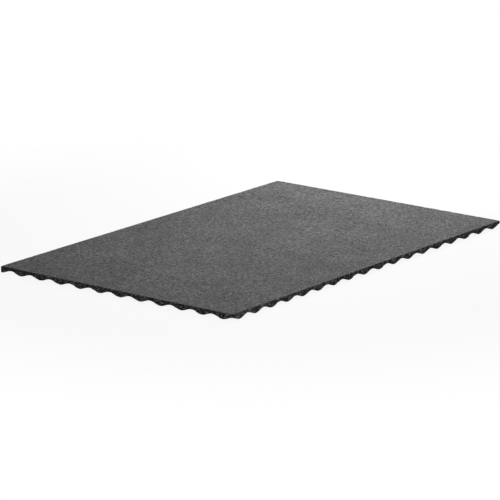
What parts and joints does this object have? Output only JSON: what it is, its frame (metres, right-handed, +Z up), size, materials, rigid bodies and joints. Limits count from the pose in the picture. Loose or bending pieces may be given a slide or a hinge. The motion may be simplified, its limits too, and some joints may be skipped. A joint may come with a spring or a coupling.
{
  "type": "sound insulation pad",
  "caption": "Flat rectangular sheet of bonded rubber granulate, plain on top and waved in both directions underneath like an egg tray.",
  "frame": {"origin": "middle of the pad's outline, at the level of the nub points that it lies on", "axes": "+X along the pad's length, +Y across its width, +Z up and out of its flat top face"},
  "size_m": [1.25, 0.8, 0.018],
  "materials": {
    "rubber_granulate": "matt, open-pored bonded granulate: dark grey on the flat top and nearly black on the cut sides and underneath"
  },
  "bodies": {
    "root": {"sound_insulation_pad": "rubber_granulate"}
  },
  "joints": []
}
